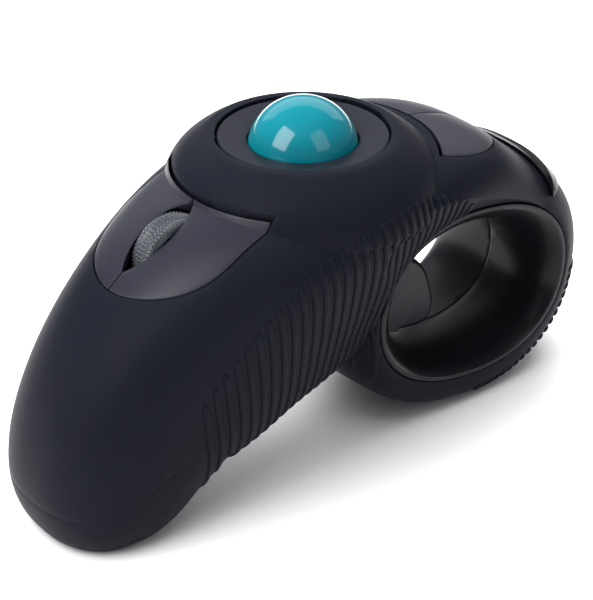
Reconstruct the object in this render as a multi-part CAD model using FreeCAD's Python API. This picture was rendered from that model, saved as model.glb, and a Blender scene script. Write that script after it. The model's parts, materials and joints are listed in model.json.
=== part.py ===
"""Handheld trackball mouse: finger ring under the nose, ball on top, keys ahead and behind.

Frame: +Y points from the tail to the nose, +X to the right, +Z up, and the part stands on z = 0.
While it is modelled, y = 0 is the vertical axis through the ball. export() then moves every
piece so that the origin is the bottom centre of the whole object. Millimetres and degrees.
"""
import FreeCAD, Part
import math
import os

V = FreeCAD.Vector
AXIS_X = V(1, 0, 0)
AXIS_Z = V(0, 0, 1)
SIDES = (("left", -1), ("right", 1))

# ---- overall sizes -------------------------------------------------------------------------------
TAIL_REACH = 63.0        # ball axis back to the rearmost point of the tail
NOSE_REACH = 66.5        # ball axis forward to the tip of the nose
BODY_WIDTH = 51.2        # across the shoulders beside the ball
BALL_HEIGHT = 60.0       # ball centre above the resting plane
WALL = 2.0               # casing wall
FIT = 0.12               # radial clearance of running pins
SEAM = 0.3               # gap round a cover or a key
GAP = 0.35               # gap between pieces that move past each other

# ---- ball, cup and retaining ring ----------------------------------------------------------------
BALL_R = 10.5
CUP_GAP = 0.6            # ball to cup
CUP_WALL = 1.6
CUP_FLANGE_R = 15.6
CUP_FLANGE_T = 1.5
CUP_TOP = 1.5            # top of the cup flange above the ball centre
WINDOW_R = 3.6           # sensor window in the cup floor
BEARING_R = 1.25
LEG_X = 14.4             # legs of the cup, either side of the ball
BEARING_ANGLE = 52.0     # bearing contact, measured from straight down
RING_R = 16.1            # retaining ring, outer
RING_LIP_R = 10.45       # retaining ring, smallest opening, under the ball's own radius
RING_MOUTH_R = 10.85     # opening at the ring's top face
RING_TOP = 3.5           # ring's outer edge over the ball centre
RING_DISH = 0.75         # fall of the ring's top face to its mouth
TAB_DEPTH = 1.1
TAB_T = 1.0
TAB_SPAN = 18.0
GRIP_TURNS = (78.0, 243.0)         # where the two wider stretches of the ring's seam start
GRIP_SPAN = 36.0
GRIP_GAP = 0.35

# ---- rear and front keys -------------------------------------------------------------------------
KEY_WALL = 1.7
REAR_KEY_R = 16.0        # rounded tail end of the rear keys
REAR_KEY_Y = -28.0
REAR_KEY_ARC = 24.4      # arc round the ball that ends the rear keys
FRONT_KEY_R = 16.7
FRONT_KEY_Y = 26.0
FRONT_KEY_ARC = 25.4
KEY_EDGE_GAP = 0.7       # gap along the ball-side arc
BARREL_X = (3.4, 7.0)    # hinge barrels of the keys
EAR_T = 2.2              # lugs that hold the key pins
POST_R = 1.6
REAR_POST = (11.0, -20.6)
FRONT_POST = (8.0, 30.5)

# ---- scroll wheel --------------------------------------------------------------------------------
WHEEL_R = 8.0
WHEEL_W = 5.4
WHEEL_Y = -29.7
WHEEL_RIBS = 32
AXLE_R = 1.0
CHEEK_X = 4.8            # outer face of the bracket's cheeks
GUIDE_X = 11.2           # guide pins
LUG_BACK = 3.6           # rear edge of the bracket behind the axle
SLOT_HALF_LEN = 8.0
SLOT_HALF_W = 3.5
SLOT_Y = -32.9

# ---- circuit board and what sits on it -----------------------------------------------------------
BOARD_T = 1.2
BOARD_HALF_W = 16.8      # beside the ball
BOARD_NOSE_W = 11.5      # half width over the finger ring
BOARD_ARM_X = 5.6        # inner and outer edge of the two arms beside the wheel
BOARD_ARM_END = 14.8
BOARD_REAR = -35.5
BOARD_NOTCH = -15.6
BOARD_WAIST = 8.0
BOARD_FRONT = 40.0
SWITCH = 6.0             # side of a key switch
SWITCH_H = 3.5
SMALL_SWITCH = 3.6
SMALL_SWITCH_H = 1.7
PLUNGER_R = 1.6
PLUNGER_H = 1.0
PLUNGER_GAP = 0.06       # plunger to what presses it
PAD_GAP = 0.15           # plunger to the trigger, which tilts against it
PLUNGER_ROOM = 0.7       # left under a plunger in its well
WELL_GAP = 0.12
SMALL_PLUNGER_R = 1.1
SMALL_PLUNGER_H = 0.8

# ---- finger ring ---------------------------------------------------------------------------------
RING_Y, RING_Z = 29.9, 26.6        # centre of the bezel ovals
FLANK_X = 17.3                     # side plane of the finger ring
BEZEL = (24.5, 18.5)               # bezel oval, half length and half height
BORE = (19.3, 13.9)                # finger bore, half length and half height
BORE_SHIFT = (1.0, -1.4)           # bore centre from the bezel centre
OVAL_TILT = -8.0
LINER_WALL = 1.6
BEZEL_PROUD = 0.3

# ---- trigger -------------------------------------------------------------------------------------
TRIGGER_W = 15.0
TRIGGER_PIN_R = 0.9
TRIGGER_HUB_R = 2.2
TRIGGER_BACK = 2.4       # flat back of the trigger behind the pivot
SPRING_GAP = 0.9         # springs to the trigger's back
TRIGGER_PIVOT = (10.0, 32.5)
TRIGGER_REACH = 17.9     # pivot forward to the trigger's furthest point
TRIGGER_DROP = 16.1      # pivot down to the trigger's lowest point
BRACKET_Y = 1.8          # rear face of the trigger bracket
BRACKET_T = 1.2
TRIGGER_SWITCH_Z = 25.5

# ---- batteries and their door --------------------------------------------------------------------
CELL_R = 5.25
CELL_LEN = 44.5
CELL_PITCH = 11.0
BELLY_POINT = (-20.0, 8.2)         # on the belly line under the middle of the cells
BELLY_SLOPE = 24.4
CELL_HEIGHT = 10.5                 # cell axis above the belly line
DOOR_REAR, DOOR_FRONT = -15.0, 20.0
DOOR_HALF_W = 12.4

# ---- power switch and screws ---------------------------------------------------------------------
POWER_Y = -54.0
POWER_TRAVEL = 3.0
SCREW_R = 1.0
SCREW_HEAD_R = 1.8
SCREW_HEAD_T = 1.4
BOSS_R = 2.6
CASE_SCREWS = ((15.6, -31.0), (-15.6, -31.0), (0.0, 56.6))
SCREW_SEATS = (17.6, 17.6, 18.0)   # height of the seat under each head

# ---- sizes that follow from those above ----------------------------------------------------------
BALL = V(0, 0, BALL_HEIGHT)
HALF_W = BODY_WIDTH / 2
SENSOR_STACK = 5.9                               # board top to the bottom of the ball, less the gap
BOARD_TOP = BALL_HEIGHT - BALL_R - SENSOR_STACK
BOARD_Z = BOARD_TOP - BOARD_T
WHEEL_Z = 0.799 * BALL_HEIGHT
SEAT_R = RING_R + SEAM                           # recess that holds the retaining ring
TAB_R = RING_R + TAB_DEPTH
RING_BOTTOM = CUP_TOP + 0.12
PLUNGER_TOP = BOARD_TOP + SWITCH_H + PLUNGER_H
WHEEL_PLUNGER_TOP = BOARD_TOP + SMALL_SWITCH_H + SMALL_PLUNGER_H
BELLY_DIR = V(0, math.cos(math.radians(BELLY_SLOPE)), math.sin(math.radians(BELLY_SLOPE)))
BELLY = V(0, BELLY_POINT[0] * TAIL_REACH / 63.0, BELLY_POINT[1] * BALL_HEIGHT / 60.0)
REAR_PIVOT = V(0, REAR_KEY_Y - REAR_KEY_R + 3.4, 0.735 * BALL_HEIGHT)
FRONT_PIVOT = V(0, FRONT_KEY_Y + FRONT_KEY_R - 3.5, 0.852 * BALL_HEIGHT)

# Body sections from the tail's foot to the nose. Top and bottom are shares of the reach to that
# end and of the ball's height; half width and waist are shares of half the body width; then the
# height of the widest place as a share of the section, and the roundness above and below it.
SECTIONS = (
    ((-.952, .000), (-.603, .000), .508, .508, .50, 2.4, 2.4),
    ((-.994, .067), (-.556, .042), .625, .625, .50, 2.4, 2.4),
    ((-1.00, .217), (-.492, .100), .711, .711, .50, 2.4, 2.4),
    ((-.941, .425), (-.405, .147), .758, .758, .50, 2.4, 2.4),
    ((-.825, .620), (-.302, .183), .797, .790, .50, 2.5, 2.6),
    ((-.676, .780), (-.198, .225), .844, .800, .54, 2.5, 2.8),
    ((-.476, .917), (-.111, .247), .906, .790, .62, 2.5, 3.0),
    ((-.222, 1.00), (-.016, .280), .984, .766, .70, 2.5, 3.2),
    ((0.090, 1.017), (.105, .350), 1.00, .727, .73, 2.5, 3.4),
    ((0.361, 1.003), (.256, .400), .898, .700, .70, 2.5, 3.4),
    ((0.602, .917), (.436, .433), .766, .680, .65, 2.5, 3.2),
    ((0.797, .777), (.617, .433), .664, .640, .60, 2.5, 3.0),
)
# Finger ring: side plane offset, growth of the bezel oval's half length and height, centre shift.
RING_SECTIONS = (
    (1.00, 1.1, 1.1, 0.0, 0.0),
    (0.855, 4.1, 5.1, 1.2, -1.4),
    (0.52, 7.6, 6.5, 2.4, -1.2),
    (0.00, 9.1, 6.9, 3.0, -1.2),
)
# Hollow in the flank over the finger ring: side plane, and growth of the bezel oval there.
FLARE = ((-2.0, -1.1), (0.0, 0.3), (2.0, 1.7), (3.7, 3.7), (5.1, 6.1), (6.3, 8.9), (7.7, 12.6), (9.4, 17.6))
# Dome round the ball: radius and height over the ball centre, from the shoulder up to the rim.
DOME = ((26.6, -8.0), (25.7, -3.4), (24.0, -0.5), (21.8, 1.6), (19.6, 3.1), (17.8, 3.9), (16.9, 3.9))
SECTION_POINTS = 24
WRAP = 3


# ---- small helpers -------------------------------------------------------------------------------
def box(x0, x1, y0, y1, z0, z1):
    return Part.makeBox(x1 - x0, y1 - y0, z1 - z0, V(x0, y0, z0))


def rod(radius, x0, x1, y, z):
    """Cylinder along X."""
    return Part.makeCylinder(radius, x1 - x0, V(x0, y, z), AXIS_X)


def post(radius, x, y, z0, z1):
    """Cylinder along Z."""
    return Part.makeCylinder(radius, z1 - z0, V(x, y, z0), AXIS_Z)


def disc(radius, low, high):
    """Cylinder about the ball axis between two heights over the ball centre."""
    return post(radius, 0, 0, BALL_HEIGHT + low, BALL_HEIGHT + high)


def revolved(points):
    """Solid of revolution about the ball axis from (radius, height over the ball centre)."""
    loop = [V(r, 0, BALL_HEIGHT + z) for r, z in points]
    wire = Part.makePolygon(loop + loop[:1])
    return Part.Face(wire).revolve(V(), AXIS_Z, 360)


def prism_x(points, x0, x1):
    """Polygon in (y, z) extruded along X."""
    loop = [V(x0, y, z) for y, z in points]
    return Part.Face(Part.makePolygon(loop + loop[:1])).extrude(V(x1 - x0, 0, 0))


def largest(shape):
    """The biggest solid of a cut result."""
    return max(shape.Solids, key=lambda solid: solid.Volume)


def bent(value, power):
    return math.copysign(abs(value) ** power, value)


def spot(y_share, z_share):
    """Point on the middle plane from shares of the reach and the ball height."""
    reach = TAIL_REACH if y_share < 0 else NOSE_REACH
    return V(0, y_share * reach, z_share * BALL_HEIGHT)


def skin(rings):
    """Solid with one smooth side through closed rings of points, and flat ends."""
    count = len(rings[0])
    grid = [[ring[(k - WRAP) % count] for k in range(count + 2 * WRAP + 1)] for ring in rings]
    side = Part.BSplineSurface()
    side.interpolate(grid)
    first, last = side.bounds()[:2]
    knots = side.getVKnots()
    side.segment(first, last, knots[WRAP], knots[WRAP + count])
    ends = [Part.Face(Part.Wire([side.uIso(at).toShape()])) for at in (first, last)]
    shell = Part.Shell([side.toShape()] + ends)
    shell.sewShape()
    solid = Part.Solid(shell)
    if solid.Volume < 0:
        solid.reverse()
    return solid


# ---- outer form ----------------------------------------------------------------------------------
def body_section(top, bottom, half, waist, widest, above, below, inset):
    """Ring of points round one section, narrowed under its widest place to the waist."""
    high, low = spot(*top), spot(*bottom)
    up = (high - low).normalize()
    high, low = high - up * inset, low + up * inset
    middle = low + (high - low) * widest
    half_x, waist_x = half * HALF_W - inset, waist * HALF_W - inset
    ring = []
    for k in range(SECTION_POINTS):
        turn = 2 * math.pi * k / SECTION_POINTS
        if math.sin(turn) >= 0:
            rise = bent(math.sin(turn), 2 / above)
            across = half_x * bent(math.cos(turn), 2 / above)
            centre = middle + (high - middle) * rise
        else:
            fall = bent(-math.sin(turn), 2 / below)
            taper = 0.5 * (1 + math.cos(math.pi * min(1, 1.35 * fall)))
            across = (waist_x + (half_x - waist_x) * taper) * bent(math.cos(turn), 2 / below)
            centre = middle + (low - middle) * fall
        ring.append(V(across, centre.y, centre.z))
    return ring


def oval(x, y, z, length, height, power=2.2):
    """Ring of points round a tilted oval in the plane at x; length and height are halves."""
    tilt = math.radians(OVAL_TILT)
    ring = []
    for k in range(SECTION_POINTS):
        turn = 2 * math.pi * k / SECTION_POINTS
        along = length * bent(math.cos(turn), 2 / power)
        rise = height * bent(math.sin(turn), 2 / power)
        ring.append(V(x, y + along * math.cos(tilt) - rise * math.sin(tilt),
                      z + along * math.sin(tilt) + rise * math.cos(tilt)))
    return ring


def finger_ring(inset):
    """Solid of the ring and nose, before the bore: ovals from one side plane to the other."""
    middle = RING_SECTIONS[-1]
    nose = (NOSE_REACH - RING_Y - middle[3]) / (BEZEL[0] + middle[1])
    mirrored = [(-side, *rest) for side, *rest in RING_SECTIONS]
    rings = []
    for side, longer, higher, dy, dz in mirrored + list(RING_SECTIONS[-2::-1]):
        length = (BEZEL[0] + longer) * (1 + (nose - 1) * (1 - abs(side)))
        rings.append(oval(side * (FLANK_X - inset), RING_Y + dy, RING_Z + dz,
                          length - inset, BEZEL[1] + higher - inset))
    return skin(rings)


def dome(inset):
    """Low dome round the ball, closed down into the body."""
    curve = Part.BSplineCurve()
    curve.interpolate([V(r - inset, 0, BALL_HEIGHT + z - inset) for r, z in DOME])
    start, end = curve.StartPoint, curve.EndPoint
    foot = BALL_HEIGHT - 16.0
    foot_r = start.x - 7.0
    edges = [curve.toShape(), Part.makeLine(end, V(0, 0, end.z)),
             Part.makeLine(V(0, 0, end.z), V(0, 0, foot)),
             Part.makeLine(V(0, 0, foot), V(foot_r, 0, foot)),
             Part.makeLine(V(foot_r, 0, foot), start)]
    return Part.Face(Part.Wire(edges)).revolve(V(), AXIS_Z, 360)


def hull(inset):
    return skin([body_section(*row, inset) for row in SECTIONS])


def flare(side, inset):
    """Bowl that hollows one flank down to the bezel of the finger ring."""
    rows = [(FLANK_X - inset + out, grow + inset) for out, grow in FLARE]
    return skin([oval(side * x, RING_Y, RING_Z, BEZEL[0] + grow, BEZEL[1] + grow) for x, grow in rows])


def body(inset):
    """Whole outer form, in from the surface by inset, above the resting plane."""
    form = hull(inset).cut([flare(side, inset) for _, side in SIDES])
    form = largest(form).fuse([finger_ring(inset), dome(inset)])
    return form.common(box(-80, 80, -120, 120, max(inset, 0), 120))


# ---- cutters shared by the pieces that meet ------------------------------------------------------
def above_parting():
    """Everything above the joint between the two casing halves."""
    line = [spot(*share) for share in ((-1.2, .12), (-.90, .16), (-.44, .44), (.05, .61), (1.2, .42))]
    line = [(point.y, point.z) for point in line]
    return prism_x(line + [(line[-1][0], 120), (line[0][0], 120)], -60, 60)


def key_plan(radius, centre_y, arc, floor, grow):
    """Upright prism over a pair of keys: a rounded tongue ended by an arc round the ball."""
    radius += grow
    high = BALL_HEIGHT + 20
    tongue = post(radius, 0, centre_y, floor, high)
    if centre_y < 0:
        tongue = tongue.fuse(box(-radius, radius, centre_y, 0, floor, high))
    gap = KEY_EDGE_GAP if grow < 0 else 0
    return tongue.cut(post(arc + gap, 0, 0, 0, high))


def rear_key_plan(grow):
    return key_plan(REAR_KEY_R, REAR_KEY_Y, REAR_KEY_ARC, 0.63 * BALL_HEIGHT, grow)


def front_key_plan(grow):
    return key_plan(FRONT_KEY_R, FRONT_KEY_Y, FRONT_KEY_ARC, 0.76 * BALL_HEIGHT, grow)


def wheel_slot():
    """Upright lens-shaped prism that the scroll wheel stands in, with room round the wheel."""
    bow = (SLOT_HALF_LEN ** 2 + SLOT_HALF_W ** 2) / (2 * SLOT_HALF_W)
    sides = [post(bow, side * (bow - SLOT_HALF_W), SLOT_Y, 0, 120) for side in (-1, 1)]
    return sides[0].common(sides[1]).fuse(wheel_blank(GAP))


def liner_form(grow):
    """Outer form of the finger liner, from bezel to bezel."""
    edge = FLANK_X + BEZEL_PROUD
    rows = ((edge, BEZEL, 0.0), (edge - 1.8, BEZEL, 0.1), (13.0, (22.0, 16.6), 0.6),
            (9.5, (BORE[0] + LINER_WALL, BORE[1] + LINER_WALL), 1.0),
            (0.0, (BORE[0] + LINER_WALL, BORE[1] + LINER_WALL), 1.0))
    return oval_stack(rows, grow)


def liner_bore():
    edge = FLANK_X + BEZEL_PROUD + 0.02
    rows = ((edge, (BEZEL[0] - 0.8, BEZEL[1] - 0.8), 0.0),
            (edge - 1.3, (BEZEL[0] - 2.2, BEZEL[1] - 2.0), 0.25),
            (13.0, (20.2, 14.8), 0.8), (9.5, BORE, 1.0), (0.0, BORE, 1.0))
    return oval_stack(rows, 0.0)


def oval_stack(rows, grow):
    """Skin through ovals at x, mirrored; the last value moves the centre from bezel to bore."""
    mirrored = [(-x, size, shift) for x, size, shift in rows] + list(rows[-2::-1])
    return skin([oval(x, RING_Y + shift * BORE_SHIFT[0], RING_Z + shift * BORE_SHIFT[1],
                      size[0] + grow, size[1] + grow) for x, size, shift in mirrored])


# ---- casing --------------------------------------------------------------------------------------
def screw_places():
    """Screws from below: x, y, and the height of the seat under each head."""
    tail = TAIL_REACH / 63.0
    return [(x, y * tail if y < 0 else y * NOSE_REACH / 66.5, seat)
            for (x, y), seat in zip(CASE_SCREWS, SCREW_SEATS)]


def casing(outer, inner):
    """Upper and lower casing halves as hollow shells with their openings and bosses."""
    hollow = outer.cut(inner)
    rim = disc(SEAT_R + 2.8, -1.5, 6).common(outer)
    bosses = [post(BOSS_R, x, y, seat - 1.8, BOARD_Z - 1.0).common(outer) for x, y, seat in screw_places()]
    solid = hollow.fuse([rim] + bosses)
    solid = solid.cut([disc(SEAT_R, 0, 20), disc(BALL_R + CUP_GAP + CUP_WALL + 0.25, -3, 1),
                       disc(TAB_R + SEAM, CUP_TOP, CUP_TOP + TAB_T + 0.35)] + grip_notches())
    solid = solid.cut([rear_key_plan(0), front_key_plan(0), liner_form(0.25)])
    for x, y, seat in screw_places():
        solid = solid.cut([post(SCREW_HEAD_R + 0.3, x, y, -5, seat),
                           post(SCREW_R, x, y, seat - 1, seat + 12.6)])
    solid = solid.cut(power_opening())
    upper = solid.common(above_parting())
    lower = solid.cut(above_parting())
    upper = largest(upper).fuse(key_ears(outer))
    upper = upper.cut([key_pin(REAR_PIVOT), key_pin(FRONT_PIVOT)])
    lower = largest(lower).cut(door_prism(0))
    return largest(upper), largest(lower)


def grip_notches():
    """Two wider stretches of the seam round the retaining ring, for the fingertips that turn it."""
    notches = []
    for start in GRIP_TURNS:
        wedge = Part.makeCylinder(SEAT_R + GRIP_GAP, 8, BALL + V(0, 0, RING_TOP - 0.8), AXIS_Z, GRIP_SPAN)
        wedge.rotate(BALL, AXIS_Z, start)
        notches.append(wedge)
    return notches


def key_ears(outer):
    """Lugs of the upper casing that hold the ends of the two key pins, clear of the key plates."""
    clear = body(KEY_WALL + 0.6)
    ears = []
    for pivot, plan in ((REAR_PIVOT, rear_key_plan(SEAM)), (FRONT_PIVOT, front_key_plan(SEAM))):
        for _, side in SIDES:
            inner = side * (BARREL_X[1] + GAP)
            lug = box(*sorted((inner, inner + side * EAR_T)), pivot.y - 4.6, pivot.y + 4.6,
                      pivot.z - 1.6, pivot.z + 5)
            ears.append(lug.common(outer).cut(plan.cut(clear)))
    return ears


def power_opening():
    return box(-POWER_TRAVEL / 2 - 2, POWER_TRAVEL / 2 + 2, POWER_Y - 1.7, POWER_Y + 1.7, -1, WALL + 1)


def belly_frame(shape):
    """Move a piece drawn along +Y and up +Z to its place along the belly."""
    shape.rotate(V(), AXIS_X, BELLY_SLOPE)
    shape.translate(BELLY)
    return shape


def door_prism(grow):
    return belly_frame(box(-DOOR_HALF_W + grow, DOOR_HALF_W - grow, DOOR_REAR + grow, DOOR_FRONT - grow,
                           -12, WALL + 7.0))


def battery_door(outer, inner):
    """Cover in the belly with finger grooves at its front end."""
    cover = largest(outer.cut(inner).common(door_prism(SEAM)))
    grooves = [box(-5, 5, DOOR_FRONT - 2.4 - 1.7 * k, DOOR_FRONT - 1.7 - 1.7 * k, -2, 0.6) for k in range(4)]
    return cover.cut([belly_frame(groove) for groove in grooves])


# ---- ball and its mounting -----------------------------------------------------------------------
def trackball():
    return Part.makeSphere(BALL_R, BALL)


def bearing_places():
    """Centres of the three small support balls."""
    reach = BALL_R + BEARING_R + 0.03
    tilt = math.radians(BEARING_ANGLE)
    for turn in (90, 210, 330):
        around = math.radians(turn)
        yield BALL + V(reach * math.sin(tilt) * math.cos(around), reach * math.sin(tilt) * math.sin(around),
                       -reach * math.cos(tilt))


def ball_cup():
    """Open bowl under the ball, with a flange on the casing and two legs down to the board."""
    inner, outer = BALL_R + CUP_GAP, BALL_R + CUP_GAP + CUP_WALL
    bowl = Part.makeSphere(outer, BALL).common(disc(outer + 1, -outer - 1, 0))
    bowl = bowl.fuse([disc(outer, -0.5, CUP_TOP), disc(CUP_FLANGE_R, 0, CUP_FLANGE_T)])
    legs = [post(2.2, side * LEG_X, 0, BOARD_TOP, BALL_HEIGHT - 1.9) for side in (-1, 1)]
    seats = [Part.makeSphere(BEARING_R + 0.9, place) for place in bearing_places()]
    arms = [box(*sorted((side * 11.5, side * LEG_X)), -1.2, 1.2, BALL_HEIGHT - 5.5, BALL_HEIGHT - 1.9)
            for side in (-1, 1)]
    cup = bowl.fuse(legs + arms + seats)
    cup = cup.cut([Part.makeSphere(inner, BALL), disc(inner, -0.6, 4), disc(WINDOW_R, -20, -5)])
    cup = cup.cut([Part.makeSphere(BEARING_R, place) for place in bearing_places()])
    return largest(cup.cut([post(0.7, side * LEG_X, 0, BOARD_TOP - 1, BOARD_TOP + 6.2)
                            for _, side in SIDES]))


def cup_bearings():
    return Part.makeCompound([Part.makeSphere(BEARING_R, place) for place in bearing_places()])


def retaining_ring():
    """Dished ring over the ball, with three bayonet tabs."""
    mouth = RING_TOP - RING_DISH
    ring = revolved(((RING_LIP_R + 1.0, RING_BOTTOM), (RING_R, RING_BOTTOM), (RING_R, RING_TOP - 0.3),
                     (RING_R - 0.3, RING_TOP), (RING_MOUTH_R + 0.3, mouth), (RING_LIP_R, mouth - 0.25),
                     (RING_LIP_R, mouth - 0.45)))
    tabs = []
    for turn in (0, 120, 240):
        tab = Part.makeCylinder(TAB_R, TAB_T, BALL + V(0, 0, RING_BOTTOM), AXIS_Z, TAB_SPAN)
        tab.rotate(BALL, AXIS_Z, turn + 40)
        tabs.append(tab.cut(disc(RING_R - 1, 0, 5)))
    return ring.fuse(tabs)


# ---- keys ----------------------------------------------------------------------------------------
def key_pin(pivot):
    half = BARREL_X[1] + GAP + EAR_T
    return rod(0.6, -half, half, pivot.y, pivot.z)


def make_keys(outer, plan, pivot, contact, slot=None):
    """Left and right key cut from the outer form: plate, hinge barrel, and a post to its switch."""
    block = outer.common(plan)
    if slot:
        block = block.cut(slot)
    plate = block.cut(body(KEY_WALL))
    keys = {}
    for name, side in SIDES:
        x0, x1 = sorted((side * BARREL_X[0], side * BARREL_X[1]))
        barrel = rod(1.35, x0, x1, pivot.y, pivot.z)
        web = box(x0, x1, pivot.y - 0.9, pivot.y + 0.9, pivot.z, pivot.z + 2.4).common(block)
        foot = post(POST_R, side * contact[0], contact[1], PLUNGER_TOP + PLUNGER_GAP, BALL_HEIGHT + 1)
        half = box(*sorted((side * SEAM / 2, side * 40)), -90, 90, 0, 120)
        shape = largest(plate.common(half)).fuse([barrel, web, foot.common(block)])
        keys[name] = largest(shape.cut(rod(0.6 + FIT / 2, -12, 12, pivot.y, pivot.z)))
    return keys


def key_switches():
    """Switch bodies with their plungers: name, centre and size."""
    for row, place in (("rear", REAR_POST), ("front", FRONT_POST)):
        for name, side in SIDES:
            yield f"{row}_{name}", side * place[0], place[1]


def switch_body(x, y, side, height, plunger_r):
    """Square switch with a round well in which its plunger slides."""
    half = side / 2
    shell = box(x - half, x + half, y - half, y + half, BOARD_TOP, BOARD_TOP + height)
    floor = BOARD_TOP + 0.28 * height
    return shell.cut(post(plunger_r + WELL_GAP, x, y, floor, BOARD_TOP + height + 1))


def switch_plunger(x, y, height, rise, plunger_r):
    """Plunger with its travel left under it in the well."""
    return post(plunger_r, x, y, BOARD_TOP + 0.28 * height + PLUNGER_ROOM, BOARD_TOP + height + rise)


# ---- scroll wheel --------------------------------------------------------------------------------
def wheel_blank(grow):
    """Crowned disc: the wheel's outer form, larger all round by grow."""
    half = WHEEL_W / 2 + grow
    disc_form = rod(WHEEL_R + grow, -half, half, WHEEL_Y, WHEEL_Z)
    return disc_form.makeFillet(1.5, [edge for edge in disc_form.Edges if edge.Closed])


def scroll_wheel():
    """Wheel with cross grooves in its tread and a thin web round the hub."""
    wheel = wheel_blank(0)
    grooves = []
    for k in range(WHEEL_RIBS):
        groove = box(-WHEEL_W, WHEEL_W, WHEEL_Y - 0.35, WHEEL_Y + 0.35,
                     WHEEL_Z + WHEEL_R - 0.5, WHEEL_Z + WHEEL_R + 1)
        groove.rotate(V(0, WHEEL_Y, WHEEL_Z), AXIS_X, 360 * k / WHEEL_RIBS)
        grooves.append(groove)
    pockets = [rod(WHEEL_R - 2.4, *sorted((side * 0.9, side * WHEEL_W)), WHEEL_Y, WHEEL_Z)
               for _, side in SIDES]
    hub = rod(2.2, -WHEEL_W / 2, WHEEL_W / 2, WHEEL_Y, WHEEL_Z)
    return largest(wheel.cut(grooves + pockets).fuse(hub).cut(rod(AXLE_R, -5, 5, WHEEL_Y, WHEEL_Z)))


def wheel_axle():
    return rod(AXLE_R, -8.2, 6.2, WHEEL_Y, WHEEL_Z)


def wheel_bracket():
    """Cradle beside and under the wheel, sliding on two guide pins behind the axle."""
    low = WHEEL_Z - WHEEL_R - 2.0
    back, front = WHEEL_Y - LUG_BACK, WHEEL_Y + LUG_BACK
    cheeks = [box(*sorted((side * 3.3, side * CHEEK_X)), back, front, low, WHEEL_Z + 1.8)
              for _, side in SIDES]
    bridge = box(-CHEEK_X, CHEEK_X, back, front, low, low + 1.4)
    lug_z = WHEEL_PLUNGER_TOP + PLUNGER_GAP
    lugs = [box(*sorted((side * 4.0, side * (GUIDE_X + 1.8))), back, back + 3.6, lug_z, lug_z + 1.4)
            for _, side in SIDES]
    shape = cheeks[0].fuse(cheeks[1:] + [bridge] + lugs)
    shape = shape.cut([post(1.0 + FIT, side * GUIDE_X, back + 1.8, 0, 80) for _, side in SIDES])
    return largest(shape.cut(rod(AXLE_R + FIT, -9, 9, WHEEL_Y, WHEEL_Z)))


def guide_pins():
    y = WHEEL_Y - LUG_BACK + 1.8
    return Part.makeCompound([post(1.0, side * GUIDE_X, y, BOARD_Z - 0.6, BOARD_TOP + 3.6)
                              for _, side in SIDES])


def wheel_encoder():
    """Rotary encoder on the left cheek of the bracket."""
    shell = box(-CHEEK_X - 3.4, -CHEEK_X, WHEEL_Y - 3.2, WHEEL_Y + 3.2, WHEEL_Z - 2.8, WHEEL_Z + 2.4)
    return largest(shell.cut([rod(AXLE_R + FIT, -9, -4, WHEEL_Y, WHEEL_Z), wheel_bracket()]))


# ---- circuit board -------------------------------------------------------------------------------
def main_board():
    """Board with two arms beside the wheel, and holes for its screws and guide pins."""
    z0, z1 = BOARD_Z, BOARD_TOP
    arms = [box(*sorted((side * BOARD_ARM_X, side * BOARD_ARM_END)), BOARD_REAR, BOARD_NOTCH + 1, z0, z1)
            for _, side in SIDES]
    plate = box(-BOARD_HALF_W, BOARD_HALF_W, BOARD_NOTCH, BOARD_WAIST, z0, z1)
    plate = plate.fuse(arms + [box(-BOARD_NOSE_W, BOARD_NOSE_W, BOARD_WAIST - 1, BOARD_FRONT, z0, z1)])
    holes = [post(0.8, side * LEG_X, 0, z0 - 1, z1 + 1) for _, side in SIDES]
    holes += [post(1.0, side * GUIDE_X, WHEEL_Y - LUG_BACK + 1.8, z0 - 1, z1 + 1) for _, side in SIDES]
    return largest(plate.cut(holes).removeSplitter())


def board_screws():
    """Two screws up into the legs of the cup, with cross recesses."""
    return Part.makeCompound([screw(side * LEG_X, 0, BOARD_Z, 0.7, 6.8, 1.3, 0.9) for _, side in SIDES])


def screw(x, y, seat, radius, length, head_r, head_t):
    """Screw driven upwards: its head is under the seat, with a cross recess."""
    shape = post(head_r, x, y, seat - head_t, seat).fuse(post(radius, x, y, seat - 0.1, seat + length))
    blade = 0.25 * head_r
    cross = [box(x - a, x + a, y - b, y + b, seat - head_t - 1, seat - head_t / 2)
             for a, b in ((blade, 0.7 * head_r), (0.7 * head_r, blade))]
    return shape.cut(cross)


def case_screws():
    return Part.makeCompound([screw(x, y, seat, SCREW_R, 12.0, SCREW_HEAD_R, SCREW_HEAD_T)
                              for x, y, seat in screw_places()])


def sensor_parts():
    """Optical sensor chip, its lens under the cup window, and the lamp beside it."""
    chip = box(-4.0, 4.0, -5.0, 5.0, BOARD_TOP, BOARD_TOP + 2.2)
    window = BALL_HEIGHT - BALL_R - CUP_GAP - CUP_WALL
    lens = post(3.0, 0, 0, BOARD_TOP + 2.2, window - 0.1).fuse(
        box(-3.9, 3.9, -3.2, 3.2, BOARD_TOP + 2.2, BOARD_TOP + 2.9))
    lamp = post(1.25, 6.2, 3.4, BOARD_TOP, BOARD_TOP + 2.6).fuse(
        Part.makeSphere(1.25, V(6.2, 3.4, BOARD_TOP + 2.6)))
    return {"sensor_chip": chip, "sensor_lens": lens, "sensor_lamp": lamp}


def board_parts():
    """Controller chip, radio module with its can, and the clock crystal."""
    top = BOARD_TOP
    can = box(-4.5, 4.5, 17.0, 26.0, top, top + 0.8).fuse(box(-3.6, 3.6, 17.9, 25.1, top + 0.8, top + 2.2))
    crystal = box(-5.0, 5.0, 12.2, 14.8, top, top + 2.4)
    upright = [edge for edge in crystal.Edges if abs(edge.tangentAt(edge.FirstParameter).z) > 0.9]
    crystal = crystal.makeFillet(1.2, upright)
    under = box(-3.5, 3.5, -12.5, -7.5, BOARD_Z - 1.6, BOARD_Z)
    return {"radio_module": can, "clock_crystal": crystal, "controller_chip": under}


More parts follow.
